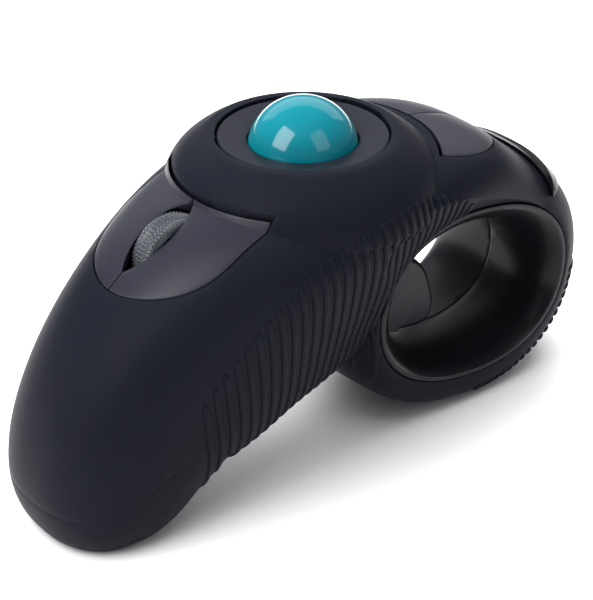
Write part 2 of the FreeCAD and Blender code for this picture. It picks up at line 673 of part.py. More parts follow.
# ---- finger ring ---------------------------------------------------------------------------------
def finger_liners():
    """Flared left and right halves of the finger bore, open at the back for the trigger."""
    form = liner_form(0.0).cut(liner_bore())
    y, z = TRIGGER_PIVOT
    slot = box(-TRIGGER_W / 2 - GAP, TRIGGER_W / 2 + GAP, y - 3, y + 12, z - TRIGGER_DROP - 0.6, z + 3.2)
    form = form.cut(slot)
    halves = {}
    for name, side in SIDES:
        half = form.common(box(*sorted((0, side * 40)), -20, 90, -20, 90))
        halves[f"finger_liner_{name}"] = largest(half)
    return halves


def nose_window(outer):
    """Dark cover that wraps over the tip of the nose, let into the casing."""
    place = nose_window_place(0)
    return largest(body(-0.6).common(place).cut(body(1.0)))


def nose_window_place(grow):
    front = 0.75 * NOSE_REACH
    low = 0.69 * BALL_HEIGHT
    return box(-30, 30, front - grow, 90, low - grow, 90)


# ---- trigger -------------------------------------------------------------------------------------
def trigger():
    """Curved paddle hung from its hub, with a bowed front face."""
    y, z = TRIGGER_PIVOT
    reach, drop, half = TRIGGER_REACH, TRIGGER_DROP, TRIGGER_W / 2
    front = ((.28, .13), (.70, -.01), (.86, -.20), (.965, -.50), (1.0, -.80), (.93, -.96), (.75, -1.0),
             (.50, -.96))
    front = [V(-half, y + share * reach, z + fall * drop) for share, fall in front]
    back = ((2.0, 2.4 - drop), (-1.6, 3.6 - drop), (-TRIGGER_BACK, 5.2 - drop), (-TRIGGER_BACK, -4.2),
            (-1.6, -2.0), (-0.6, 2.1))
    back = [V(-half, y + dy, z + dz) for dy, dz in back]
    bow = Part.BSplineCurve()
    bow.interpolate(front)
    rest = Part.makePolygon([front[-1]] + back + [front[0]])
    blade = Part.Face(Part.Wire([bow.toShape()] + rest.Edges)).extrude(V(TRIGGER_W, 0, 0))
    rim = [edge for edge in blade.Edges
           if edge.BoundBox.XLength < 0.01 and not isinstance(edge.Curve, Part.Line)]
    shape = blade.makeFillet(1.4, rim).fuse(rod(TRIGGER_HUB_R, -half, half, y, z))
    return largest(shape.cut(rod(TRIGGER_PIN_R + FIT / 2, -half - 1, half + 1, y, z)))


def trigger_pin():
    y, z = TRIGGER_PIVOT
    half = TRIGGER_W / 2 + GAP + 1.9
    return rod(TRIGGER_PIN_R, -half, half, y, z)


def trigger_bracket():
    """Fixed frame behind the trigger: back plate, and two ears that hold the pin."""
    y, z = TRIGGER_PIVOT
    inner = TRIGGER_W / 2 + GAP
    plate = box(-inner - 1.9, inner + 1.9, BRACKET_Y, BRACKET_Y + BRACKET_T, z - 11.5, z + 3.4)
    ears = [box(*sorted((side * inner, side * (inner + 1.9))), BRACKET_Y, y + 2.2, z - 2.6, z + 3.4)
            for _, side in SIDES]
    shape = plate.fuse(ears).cut(liner_form(0.3)).common(body(WALL))
    return largest(shape.cut(rod(TRIGGER_PIN_R, -20, 20, y, z)))


def trigger_switch():
    """Switch on the bracket, its plunger towards the trigger."""
    face = BRACKET_Y + BRACKET_T
    shape = box(-3, 3, face, face + SWITCH_H, TRIGGER_SWITCH_Z - 3, TRIGGER_SWITCH_Z + 3)
    well = Part.makeCylinder(PLUNGER_R + GAP / 3, 9, V(0, face + 1.0, TRIGGER_SWITCH_Z), V(0, 1, 0))
    return shape.cut(well)


def trigger_plunger():
    face = BRACKET_Y + BRACKET_T
    end = TRIGGER_PIVOT[0] - TRIGGER_BACK - PAD_GAP
    return Part.makeCylinder(PLUNGER_R, end - face - 1.8, V(0, face + 1.8, TRIGGER_SWITCH_Z), V(0, 1, 0))


def coil(radius, wire, pitch, turns, place, direction):
    """Open coil spring of round wire."""
    spine = Part.makeHelix(pitch, pitch * turns, radius)
    section = Part.Wire([Part.Circle(V(radius, 0, 0), V(0, 1, 0), wire).toShape()])
    spring = Part.Wire(spine.Edges).makePipeShell([section], True, True)
    spring.Placement = FreeCAD.Placement(place, FreeCAD.Rotation(AXIS_Z, direction))
    return spring


def trigger_springs():
    """Two short return springs between the bracket and the trigger's back."""
    face = BRACKET_Y + BRACKET_T
    free = TRIGGER_PIVOT[0] - TRIGGER_BACK - SPRING_GAP - face
    coils = [coil(1.2, 0.2, free / 4.5, 4, V(side * 5.3, face + 0.2, TRIGGER_SWITCH_Z), V(0, 1, 0))
             for _, side in SIDES]
    return Part.makeCompound(coils)


# ---- batteries -----------------------------------------------------------------------------------
def cell(side):
    """One AAA cell along the belly; the two lie head to tail."""
    x, start = side * CELL_PITCH / 2, -CELL_LEN / 2
    tube = Part.makeCylinder(CELL_R, CELL_LEN - 0.8, V(x, start, CELL_HEIGHT), V(0, 1, 0))
    tube = tube.makeFillet(0.5, [edge for edge in tube.Edges if edge.Closed])
    cap = Part.makeCylinder(1.9, 1.0, V(x, start + CELL_LEN - 1.0, CELL_HEIGHT), V(0, 1, 0))
    shape = tube.fuse(cap)
    if side < 0:
        shape.rotate(V(x, 0, CELL_HEIGHT), AXIS_Z, 180)
    return belly_frame(shape)


def battery_contacts():
    """Bridge plate at the tail end, and two separate plates at the front end."""
    rear, front = -CELL_LEN / 2, CELL_LEN / 2
    z0, z1 = CELL_HEIGHT - 4, CELL_HEIGHT + 4
    plates = [box(-CELL_PITCH / 2 - 4, CELL_PITCH / 2 + 4, rear - 1.0, rear - 0.7, z0, z1)]
    plates += [box(*sorted((side * 1.2, side * 9.4)), front + 0.7, front + 1.0, z0, z1) for _, side in SIDES]
    return belly_frame(Part.makeCompound(plates))


def battery_tray():
    """Cradle over the cells: two end walls joined by a roof strip, standing on the casing."""
    rear, front = -CELL_LEN / 2 - 1.0, CELL_LEN / 2 + 1.0
    half = CELL_PITCH / 2 + CELL_R + 0.5
    roof_z = CELL_HEIGHT + CELL_R + 0.5
    walls = [box(-half, half, rear - 1.2, rear, 0, roof_z + 1.0),
             box(-half, half, front, front + 1.2, 0, roof_z + 1.0)]
    roof = box(-half, half, rear - 1.2, front + 1.2, roof_z, roof_z + 1.0)
    sides = [box(*sorted((side * half, side * (half + 1.0))), rear - 1.2, front + 1.2,
                 CELL_HEIGHT - 4.0, roof_z + 1.0) for _, side in SIDES]
    walls = belly_frame(Part.makeCompound(walls)).common(body(WALL))
    cover = belly_frame(Part.makeCompound([roof] + sides)).common(body(WALL + 0.5))
    return largest(walls.fuse(cover))


# ---- power switch --------------------------------------------------------------------------------
def power_switch():
    """Slide switch body over its opening in the foot."""
    shape = box(-5.2, 5.2, POWER_Y - 2.6, POWER_Y + 2.6, WALL, WALL + 3.6)
    travel = POWER_TRAVEL / 2 + 1.6
    return shape.cut(box(-travel, travel, POWER_Y - 1.2, POWER_Y + 1.2, WALL - 1, WALL + 1.6))


def power_slider():
    """Thumb-nail slider at its off position."""
    x = -POWER_TRAVEL / 2
    knob = box(x - 1.4, x + 1.4, POWER_Y - 0.95, POWER_Y + 0.95, 0.5, WALL + 1.3)
    grooves = [box(x - 0.6 + k * 0.6 - 0.12, x - 0.6 + k * 0.6 + 0.12, POWER_Y - 2, POWER_Y + 2, 0, 0.7)
               for k in range(3)]
    return knob.cut(grooves)


# ---- the whole mouse -----------------------------------------------------------------------------
def build():
    """Every sub-part by its node name."""
    outer, inner = body(0.0), body(WALL)
    upper, lower = casing(outer, inner)
    upper = largest(upper.cut(nose_window_place(0.2).common(body(-3)).cut(body(1.0))))
    parts = {"upper_shell": upper, "lower_shell": lower, "battery_door": battery_door(outer, inner),
             "nose_window": nose_window(outer), "trackball": trackball(), "ball_cup": ball_cup(),
             "cup_bearings": cup_bearings(), "retaining_ring": retaining_ring()}
    for name, key in make_keys(outer, rear_key_plan(-SEAM), REAR_PIVOT, REAR_POST, wheel_slot()).items():
        parts[f"rear_{name}_key"] = key
    for name, key in make_keys(outer, front_key_plan(-SEAM), FRONT_PIVOT, FRONT_POST).items():
        parts[f"front_{name}_key"] = key
    parts["rear_key_pin"] = key_pin(REAR_PIVOT)
    parts["front_key_pin"] = key_pin(FRONT_PIVOT)
    for name, x, y in key_switches():
        parts[f"{name}_switch"] = switch_body(x, y, SWITCH, SWITCH_H, PLUNGER_R)
        parts[f"{name}_plunger"] = switch_plunger(x, y, SWITCH_H, PLUNGER_H, PLUNGER_R)
    wheel_spot = (7.5, WHEEL_Y - LUG_BACK + 1.8)
    parts["wheel_switch"] = switch_body(*wheel_spot, SMALL_SWITCH, SMALL_SWITCH_H, SMALL_PLUNGER_R)
    parts["wheel_plunger"] = switch_plunger(*wheel_spot, SMALL_SWITCH_H, SMALL_PLUNGER_H, SMALL_PLUNGER_R)
    parts.update(scroll_wheel=scroll_wheel(), wheel_axle=wheel_axle(), wheel_bracket=wheel_bracket(),
                 guide_pins=guide_pins(), wheel_encoder=wheel_encoder(), main_board=main_board(),
                 board_screws=board_screws(), case_screws=case_screws())
    parts.update(sensor_parts())
    parts.update(board_parts())
    parts.update(finger_liners())
    parts.update(trigger=trigger(), trigger_pin=trigger_pin(), trigger_bracket=trigger_bracket(),
                 trigger_switch=trigger_switch(), trigger_plunger=trigger_plunger(),
                 trigger_springs=trigger_springs())
    for name, side in SIDES:
        parts[f"{name}_cell"] = cell(side)
    parts.update(battery_contacts=battery_contacts(), battery_tray=battery_tray(),
                 power_switch=power_switch(), power_slider=power_slider())
    return parts


def export(parts):
    """Write one STEP file per node, with the origin at the bottom centre of the whole."""
    os.makedirs("parts", exist_ok=True)
    whole = Part.makeCompound(list(parts.values())).optimalBoundingBox(False, False)
    shift = V(0, -whole.Center.y, 0)
    for name, shape in parts.items():
        moved = shape.copy()
        moved.translate(shift)
        moved.exportStep(f"parts/{name}.step")
    print(f"{len(parts)} nodes, shifted {shift.y:.3f} mm along Y")


export(build())
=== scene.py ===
"""Looks of a handheld trackball mouse: finishes, grip ribs, wheel tread, lights and camera.

Lengths are in metres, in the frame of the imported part: +Y from tail to nose, +X right, +Z up.
"""

import json
import logging
import math
from dataclasses import dataclass, field
from enum import Enum
from typing import Any, Union

import bmesh
import bpy
from mathutils import Matrix, Vector
from mathutils.bvhtree import BVHTree


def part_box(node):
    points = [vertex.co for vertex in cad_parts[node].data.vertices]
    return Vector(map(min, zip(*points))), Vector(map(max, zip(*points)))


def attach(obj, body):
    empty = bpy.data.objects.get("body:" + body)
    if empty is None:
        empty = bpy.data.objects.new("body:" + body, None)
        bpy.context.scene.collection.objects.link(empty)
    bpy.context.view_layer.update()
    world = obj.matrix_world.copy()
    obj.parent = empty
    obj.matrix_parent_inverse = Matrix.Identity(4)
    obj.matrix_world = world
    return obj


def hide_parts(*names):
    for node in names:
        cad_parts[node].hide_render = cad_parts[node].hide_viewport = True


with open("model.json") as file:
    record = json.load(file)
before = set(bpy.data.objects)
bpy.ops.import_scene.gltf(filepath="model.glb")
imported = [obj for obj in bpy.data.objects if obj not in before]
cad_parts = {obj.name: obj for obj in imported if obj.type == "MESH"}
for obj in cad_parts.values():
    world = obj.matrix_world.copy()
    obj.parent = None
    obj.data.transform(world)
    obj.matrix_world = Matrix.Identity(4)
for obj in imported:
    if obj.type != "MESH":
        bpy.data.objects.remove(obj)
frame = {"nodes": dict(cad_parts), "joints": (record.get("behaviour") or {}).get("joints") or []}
LOG = logging.getLogger("trackball_mouse")
MM = 0.001
WELD = 2e-6
ROUND_ABOVE = math.radians(38)
SPLIT_ABOVE = math.radians(34)
CREASE_ABOVE = math.radians(50)
Triple = tuple[float, float, float]


# ---- shader expressions --------------------------------------------------------------------------
class Reading:
    """A shader socket that Python's operators can reckon with; each operator adds one Math node."""

    def __init__(self, shade: "Shade", socket: bpy.types.NodeSocket) -> None:
        """Keep the socket and the shade it belongs to."""
        self.shade = shade
        self.socket = socket

    def _math(self, operation: str, first: Any, second: Any) -> "Reading":
        """Add one Math node.

        Args:
            operation: Math node operation.
            first: first value or reading.
            second: second value or reading.

        Returns:
            The node's result.
        """
        return self.shade.node("ShaderNodeMath", {"operation": operation}, {0: first, 1: second})

    def __add__(self, other: Any) -> "Reading":
        """Sum."""
        return self._math("ADD", self, other)

    __radd__ = __add__

    def __sub__(self, other: Any) -> "Reading":
        """Difference."""
        return self._math("SUBTRACT", self, other)

    def __rsub__(self, other: Any) -> "Reading":
        """Difference with the number first."""
        return self._math("SUBTRACT", other, self)

    def __mul__(self, other: Any) -> "Reading":
        """Product."""
        return self._math("MULTIPLY", self, other)

    __rmul__ = __mul__

    def __gt__(self, other: Any) -> "Reading":
        """1 where the reading is above the other, else 0."""
        return self._math("GREATER_THAN", self, other)

    def __lt__(self, other: Any) -> "Reading":
        """1 where the reading is below the other, else 0."""
        return self._math("LESS_THAN", self, other)


class Shade:
    """One material: its node tree, and the shortcuts that the finishes use."""

    def __init__(self, name: str) -> None:
        """Make an empty material with a Principled shader.

        Args:
            name: the material's name.
        """
        self.material = bpy.data.materials.new(name)
        self.material.use_nodes = True
        self.tree = self.material.node_tree
        self.tree.nodes.clear()
        self.body = self.tree.nodes.new("ShaderNodeBsdfPrincipled")
        out = self.tree.nodes.new("ShaderNodeOutputMaterial")
        self.tree.links.new(self.body.outputs[0], out.inputs[0])
        self.place = self.node("ShaderNodeTexCoord", {}, {}, "Object")

    def node(self, kind: str, settings: dict[str, Any], inputs: dict[Any, Any],
             output: Union[str, int] = 0) -> Reading:
        """Add any node.

        Args:
            kind: node type.
            settings: attributes set first; "stops" gives a ramp's (position, colour) pairs.
            inputs: socket name or number to a value or a reading.
            output: socket to read.

        Returns:
            The chosen output.
        """
        made = self.tree.nodes.new(kind)
        for key, value in settings.items():
            if key == "stops":
                ramp = made.color_ramp
                while len(ramp.elements) < len(value):
                    ramp.elements.new(0.5)
                for element, (position, colour) in zip(ramp.elements, value):
                    element.position = position
                    element.color = (*colour, 1.0)
            else:
                setattr(made, key, value)
        for key, value in inputs.items():
            if isinstance(value, Reading):
                self.tree.links.new(value.socket, made.inputs[key])
            else:
                made.inputs[key].default_value = value
        return Reading(self, made.outputs[output])

    def noise(self, scale: float, detail: float = 2.0, stretch: Triple = (1.0, 1.0, 1.0)) -> Reading:
        """Noise in the part's own space.

        Args:
            scale: cycles per metre.
            detail: octaves.
            stretch: scale along each axis.

        Returns:
            The noise, from 0 to 1.
        """
        place = self.node("ShaderNodeMapping", {}, {"Vector": self.place, "Scale": stretch})
        return self.node("ShaderNodeTexNoise", {}, {"Vector": place, "Scale": scale, "Detail": detail})

    def blend(self, factor: Reading, first: Any, second: Any) -> Reading:
        """Mix two colours.

        Args:
            factor: 0 gives the first, 1 the second.
            first: colour or reading.
            second: colour or reading.

        Returns:
            The mixed colour.
        """
        pair = [value if isinstance(value, Reading) else (*value, 1.0) for value in (first, second)]
        return self.node("ShaderNodeMix", {"data_type": "RGBA"},
                         {"Factor": factor, 6: pair[0], 7: pair[1]}, 2)

    def along(self, direction: Triple) -> Reading:
        """Distance along a direction from the origin.

        Args:
            direction: unit direction.

        Returns:
            The distance in metres.
        """
        return self.node("ShaderNodeVectorMath", {"operation": "DOT_PRODUCT"},
                         {0: self.place, 1: direction}, "Value")

    def set(self, **values: Any) -> None:
        """Set or link the shader's sockets; underscores stand for spaces.

        Args:
            **values: socket name to number, colour or reading.
        """
        for key, value in values.items():
            socket = self.body.inputs[key.replace("_", " ")]
            if isinstance(value, Reading):
                self.tree.links.new(value.socket, socket)
            else:
                socket.default_value = (*value, 1.0) if isinstance(value, tuple) else value

    def bump(self, height: Reading, distance: float, strength: float = 1.0) -> None:
        """Link a Bump node to the shader's normal.

        Args:
            height: height from 0 to 1.
            distance: depth in metres for a height of 1.
            strength: share of the effect.
        """
        self.set(Normal=self.node("ShaderNodeBump", {}, {"Height": height, "Distance": distance,
                                                         "Strength": strength}, "Normal"))


# ---- finishes --------------------------------------------------------------------------------------
class Tone(Enum):
    """Named colours of the mouse's finishes."""

    SOFT_BLACK = (0.0052, 0.0058, 0.0096)
    KEY_BLACK = (0.0085, 0.0090, 0.0150)
    LINER_BLACK = (0.0045, 0.0047, 0.0062)
    WINDOW_BLACK = (0.0020, 0.0020, 0.0028)
    INNER_BLACK = (0.0100, 0.0100, 0.0120)
    TEAL = (0.0008, 0.1500, 0.1900)
    CLEAR_GREY = (0.0650, 0.0720, 0.0850)
    CERAMIC = (0.8000, 0.7900, 0.7400)
    MASK_GREEN = (0.0060, 0.0900, 0.0350)
    IVORY = (0.6200, 0.6000, 0.5200)
    SLEEVE = (0.0300, 0.0340, 0.0420)
    COPPER = (0.5500, 0.2400, 0.0900)
    STEEL = (0.5600, 0.5600, 0.5800)
    LAMP_RED = (0.6000, 0.0200, 0.0150)
    SLIDER_GREY = (0.0900, 0.0920, 0.1000)


@dataclass(frozen=True)
class Moulded:
    """Moulded plastic with a spark-eroded grain, from soft-touch to gloss."""

    name: str
    tone: Tone
    roughness: float = 0.42
    grain: float = 0.6
    grain_scale: float = 3200.0
    coat: float = 0.0
    specular: float = 0.32

    def make(self) -> bpy.types.Material:
        """Build the material.

        Returns:
            The finished material.
        """
        shade = Shade(self.name)
        broad = shade.noise(60.0, 3.0)
        fine = shade.noise(self.grain_scale, 2.0)
        pores = shade.noise(self.grain_scale * 2.6, 1.0)
        base = self.tone.value
        light = tuple(min(1.0, 1.35 * part) for part in base)
        shade.set(Base_Color=shade.blend(broad * 0.6 + fine * 0.4, base, light),
                  Roughness=self.roughness - 0.05 + 0.07 * broad + 0.05 * fine,
                  Coat_Weight=self.coat, Coat_Roughness=0.08, Specular_IOR_Level=self.specular)
        shade.bump(fine * 0.65 + pores * 0.35, 0.00006 * self.grain, 0.55)
        return shade.material


@dataclass(frozen=True)
class Polished:
    """Polished resin of the trackball, with a faint swirl and hairline scratches."""

    name: str
    tone: Tone

    def make(self) -> bpy.types.Material:
        """Build the material.

        Returns:
            The finished material.
        """
        shade = Shade(self.name)
        swirl = shade.noise(120.0, 4.0)
        hair = shade.noise(900.0, 1.0, (1.0, 9.0, 1.0))
        base = self.tone.value
        deep = tuple(0.88 * part for part in base)
        shade.set(Base_Color=shade.blend(swirl, deep, base), Roughness=0.10 + 0.05 * hair,
                  Coat_Weight=0.4, Coat_Roughness=0.06, IOR=1.42)
        shade.bump(hair, 0.000004, 0.2)
        return shade.material


@dataclass(frozen=True)
class Frosted:
    """Cloudy clear resin of the scroll wheel and the lenses."""

    name: str
    tone: Tone
    roughness: float = 0.16
    clear: float = 0.55

    def make(self) -> bpy.types.Material:
        """Build the material.

        Returns:
            The finished material.
        """
        shade = Shade(self.name)
        cloud = shade.noise(700.0, 3.0)
        base = self.tone.value
        pale = tuple(min(1.0, 1.5 * part) for part in base)
        shade.set(Base_Color=shade.blend(cloud, base, pale), Roughness=self.roughness + 0.08 * cloud,
                  Transmission_Weight=self.clear, IOR=1.46)
        shade.bump(cloud, 0.00003, 0.3)
        return shade.material


@dataclass(frozen=True)
class Metal:
    """Drawn or plated metal with fine draw lines."""

    name: str
    tone: Tone
    roughness: float = 0.24

    def make(self) -> bpy.types.Material:
        """Build the material.

        Returns:
            The finished material.
        """
        shade = Shade(self.name)
        lines = shade.noise(1500.0, 2.0, (0.15, 1.0, 1.0))
        stain = shade.noise(200.0, 3.0)
        base = self.tone.value
        dull = tuple(0.72 * part for part in base)
        shade.set(Base_Color=shade.blend(stain, base, dull), Metallic=1.0,
                  Roughness=self.roughness + 0.14 * lines)
        shade.bump(lines, 0.00001, 0.35)
        return shade.material


@dataclass(frozen=True)
class Circuit:
    """Solder mask with raised tracks and tinned pads."""

    name: str
    tone: Tone
    pitch: float = 700.0

    def make(self) -> bpy.types.Material:
        """Build the material.

        Returns:
            The finished material.
        """
        shade = Shade(self.name)
        tracks = shade.node("ShaderNodeTexWave", {"wave_type": "BANDS", "bands_direction": "DIAGONAL"},
                            {"Vector": shade.place, "Scale": 0.3 * self.pitch, "Distortion": 2.5,
                             "Detail": 0.0})
        pads = shade.node("ShaderNodeTexVoronoi", {}, {"Vector": shade.place, "Scale": 0.55 * self.pitch},
                          "Distance")
        pad = pads < 0.16
        track = tracks > 0.72
        base = self.tone.value
        raised = tuple(1.9 * part for part in base)
        colour = shade.blend(pad, shade.blend(track, base, raised), Tone.IVORY.value)
        shade.set(Base_Color=colour, Metallic=0.8 * pad, Roughness=0.34 - 0.1 * pad + 0.1 * tracks)
        shade.bump(track * 0.7 + pad * 0.3, 0.00004)
        return shade.material


@dataclass(frozen=True)
class Sleeve:
    """Printed sleeve of a cell: dark, with a copper band at one end."""

    name: str
    direction: Triple
    band_from: float
    toward: int

    def make(self) -> bpy.types.Material:
        """Build the material.

        Returns:
            The finished material.
        """
        shade = Shade(self.name)
        reach = shade.along(self.direction)
        band = (reach > self.band_from) if self.toward > 0 else (reach < self.band_from)
        film = shade.noise(400.0, 2.0)
        shade.set(Base_Color=shade.blend(band, Tone.SLEEVE.value, Tone.COPPER.value),
                  Metallic=0.85 * band, Roughness=0.22 + 0.10 * film)
        shade.bump(film, 0.00001, 0.3)
        return shade.material


# ---- working on pieces -------------------------------------------------------------------------------
def dress(piece: bpy.types.Object, material: bpy.types.Material) -> None:
    """Give a piece its one material.

    Args:
        piece: the object.
        material: its finish.
    """
    piece.data.materials.clear()
    piece.data.materials.append(material)


def ease_edges(piece: bpy.types.Object, radius: float, segments: int = 2, merge: float = WELD) -> None:
    """Weld the facets of a CAD node, round its edges and smooth what is between them.

    Args:
        piece: the CAD node's object.
        radius: edge radius in metres; 0 leaves the edges sharp.
        segments: facets across a rounded edge.
        merge: corners nearer than this become one.
    """
    weld = piece.modifiers.new("weld", "WELD")
    weld.merge_threshold = merge
    if radius > 0:
        bevel = piece.modifiers.new("edge", "BEVEL")
        bevel.width = radius
        bevel.segments = segments
        bevel.limit_method = "ANGLE"
        bevel.angle_limit = ROUND_ABOVE
        bevel.use_clamp_overlap = True
        bevel.harden_normals = False
    split = piece.modifiers.new("crease", "EDGE_SPLIT")
    split.split_angle = SPLIT_ABOVE
    piece.data.shade_smooth()


def centre_of(node: str) -> Vector:
    """Middle of a CAD node's box.

    Args:
        node: its name.

    Returns:
        The middle.
    """
    low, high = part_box(node)
    return (low + high) / 2


def new_piece(name: str, points: list[Vector], faces: list[tuple[int, ...]], body: str,
              material: bpy.types.Material) -> bpy.types.Object:
    """Make a mesh piece that rides on a body.

    Args:
        name: the piece's name.
        points: vertices in the part's frame.
        faces: polygons as vertex numbers.
        body: CAD body it moves with.
        material: its finish.

    Returns:
        The new object.
    """
    mesh = bpy.data.meshes.new(name)
    mesh.from_pydata(points, [], faces)
    mesh.update()
    mesh.shade_smooth()
    piece = bpy.data.objects.new(name, mesh)
    bpy.context.scene.collection.objects.link(piece)
    dress(piece, material)
    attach(piece, body)
    return piece


class Skin:
    """Surface of the casing that ribs are laid on."""

    def __init__(self, *nodes: str) -> None:
        """Gather the CAD nodes' faces into one search tree.

        Args:
            *nodes: names of the nodes.
        """
        points: list[Vector] = []
        faces: list[tuple[int, ...]] = []
        for name in nodes:
            mesh = frame["nodes"][name].data
            start = len(points)
            points += [vertex.co.copy() for vertex in mesh.vertices]
            faces += [tuple(start + k for k in face.vertices) for face in mesh.polygons]
        self.tree = BVHTree.FromPolygons(points, faces)

    def hit(self, start: Vector, direction: Vector) -> tuple[Vector, Vector] | None:
        """First point of the surface on a line.

        Args:
            start: where the line starts, outside the casing.
            direction: where it goes.

        Returns:
            The point and the outward normal, or None.
        """
        place, normal, _, _ = self.tree.ray_cast(start, direction)
        if place is None:
            return None
        return place, (normal if normal.dot(direction) < 0 else -normal)


@dataclass
class Ribs:
    """Raised ribs with a rounded section, laid along lines on the casing."""

    width: float = 1.25 * MM
    height: float = 0.36 * MM
    taper: float = 2.0 * MM
    leap: float = 2.2 * MM
    fewest: int = 4
    tip_width: float = 0.35
    tip_start: float = 0.06
    profile: tuple[tuple[float, float], ...] = (
        (-0.50, -0.5), (-0.47, 0.35), (-0.34, 0.82), (-0.12, 1.0), (0.12, 1.0), (0.34, 0.82), (0.47, 0.35),
        (0.50, -0.5))
    points: list[Vector] = field(default_factory=list)
    faces: list[tuple[int, ...]] = field(default_factory=list)

    def lay(self, path: list[tuple[Vector, Vector]]) -> None:
        """Add one rib, or several where the line leaps over a hole.

        Args:
            path: points on the casing with their outward normals.
        """
        for k in range(1, len(path)):
            if (path[k][0] - path[k - 1][0]).length > self.leap:
                self.lay(path[:k])
                self.lay(path[k:])
                return
        if len(path) < self.fewest:
            return
        places = [place for place, _ in path]
        runs = [0.0]
        for one, two in zip(places, places[1:]):
            runs.append(runs[-1] + (two - one).length)
        start = len(self.points)
        count = len(self.profile)
        for k, (place, normal) in enumerate(path):
            ahead = places[min(k + 1, len(path) - 1)] - places[max(k - 1, 0)]
            side = normal.cross(ahead).normalized()
            near = min(runs[k], runs[-1] - runs[k]) / self.taper
            swell = math.sqrt(max(0.0, 1 - (1 - min(1.0, near + self.tip_start)) ** 2))
            for across, up in self.profile:
                lift = self.height * (up * swell if up > 0 else up)
                breadth = across * self.width * (self.tip_width + (1 - self.tip_width) * swell)
                self.points.append(place + side * breadth + normal * lift)
        for k in range(len(path) - 1):
            row = start + k * count
            self.faces += [(row + j, row + j + 1, row + count + j + 1, row + count + j)
                           for j in range(count - 1)]
            self.faces.append((row + count - 1, row, row + count, row + 2 * count - 1))
        self.faces.append(tuple(range(start + count - 1, start - 1, -1)))
        last = start + (len(path) - 1) * count
        self.faces.append(tuple(range(last, last + count)))


# ---- sub-assemblies -------------------------------------------------------------------------------------
@dataclass
class Assembly:
    """Base of the sub-assemblies: dresses CAD nodes and reports them."""

    finishes: dict[str, bpy.types.Material]

    def finish(self, nodes: tuple[str, ...], material: str, radius: float = 0.12 * MM,
               merge: float = WELD) -> None:
        """Dress CAD nodes in one finish.

        Args:
            nodes: their names.
            material: name of the finish.
            radius: radius of their edges.
            merge: corners nearer than this become one.
        """
        for name in nodes:
            piece = frame["nodes"][name]
            dress(piece, self.finishes[material])
            ease_edges(piece, radius, merge=merge)
            LOG.info("%s: %s", name, material)


@dataclass
class Casing(Assembly):
    """Casing halves, nose window, battery door, and the ribs of the grip."""

    rib_pitch: float = 2.10 * MM
    rib_rear: float = -39.5 * MM
    rib_front: float = 21.5 * MM
    crest: tuple[float, float] = (4.2 * MM, 57.2 * MM)
    fall: tuple[float, float] = (14.5, 22.5)
    lean: float = 0.13
    ring_turns: tuple[float, float, float] = (-82.0, -8.0, 4.0)
    ring_reach: float = 16.6 * MM
    flank_away: float = 60.0 * MM
    flank_step: float = 0.7 * MM
    flank_foot: float = 1.0 * MM
    ring_away: float = 90.0 * MM
    ring_step: float = 0.75 * MM
    ring_foot: float = 0.75 * MM
    least_facing: float = 0.30
    least_x: float = 9.0 * MM

    def build(self) -> None:
        """Dress the casing and lay its ribs."""
        self.finish(("upper_shell", "lower_shell", "battery_door"), "soft_touch", 0.10 * MM)
        self.finish(("nose_window",), "window_gloss", 0.15 * MM)
        self.finish(("case_screws",), "steel", 0.05 * MM)
        skin = Skin("upper_shell", "lower_shell")
        for name, side in (("left", -1), ("right", 1)):
            self.flank_ribs(skin, name, side)
        self.ring_ribs(skin)

    def flank_ribs(self, skin: Skin, name: str, side: int) -> None:
        """Lay the near-upright ribs on one flank.

        Args:
            skin: the casing's surface.
            name: left or right.
            side: -1 or 1.
        """
        ribs = Ribs()
        count = int((self.rib_front - self.rib_rear) / self.rib_pitch)
        for k in range(count + 1):
            y = self.rib_rear + k * self.rib_pitch
            ahead = y - self.crest[0]
            top = self.crest[1] - (self.fall[0] if ahead < 0 else self.fall[1]) * ahead * ahead
            path: list[tuple[Vector, Vector]] = []
            z = top
            while z > self.flank_foot:
                start = Vector((side * self.flank_away, y + self.lean * (top - z), z))
                found = skin.hit(start, Vector((-side, 0, 0)))
                if found is None or found[1].x * side < self.least_facing or found[0].x * side < self.least_x:
                    break
                path.append(found)
                z -= self.flank_step
            ribs.lay(path)
        new_piece(f"grip_ribs_{name}", ribs.points, ribs.faces, "housing",
                  self.finishes["soft_touch"])
        LOG.info("grip_ribs_%s: %d ribs", name, count + 1)

    def ring_ribs(self, skin: Skin) -> None:
        """Lay the cross ribs under the front of the finger ring.

        Args:
            skin: the casing's surface.
        """
        ribs = Ribs(width=1.7 * MM, height=0.40 * MM)
        low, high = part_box("finger_liner_right")
        centre = Vector((0, (low.y + high.y) / 2, (low.z + high.z) / 2))
        start, end, step = self.ring_turns
        turn = start
        while turn <= end:
            way = Vector((0, math.cos(math.radians(turn)), math.sin(math.radians(turn))))
            path: list[tuple[Vector, Vector]] = []
            across = -self.ring_reach
            while across <= self.ring_reach:
                found = skin.hit(centre + way * self.ring_away + Vector((across, 0, 0)), -way)
                if found is not None and found[0].z > self.ring_foot:
                    path.append(found)
                across += self.ring_step
            ribs.lay(path)
            turn += step
        new_piece("ring_ribs", ribs.points, ribs.faces, "housing", self.finishes["soft_touch"])
        LOG.info("ring_ribs")


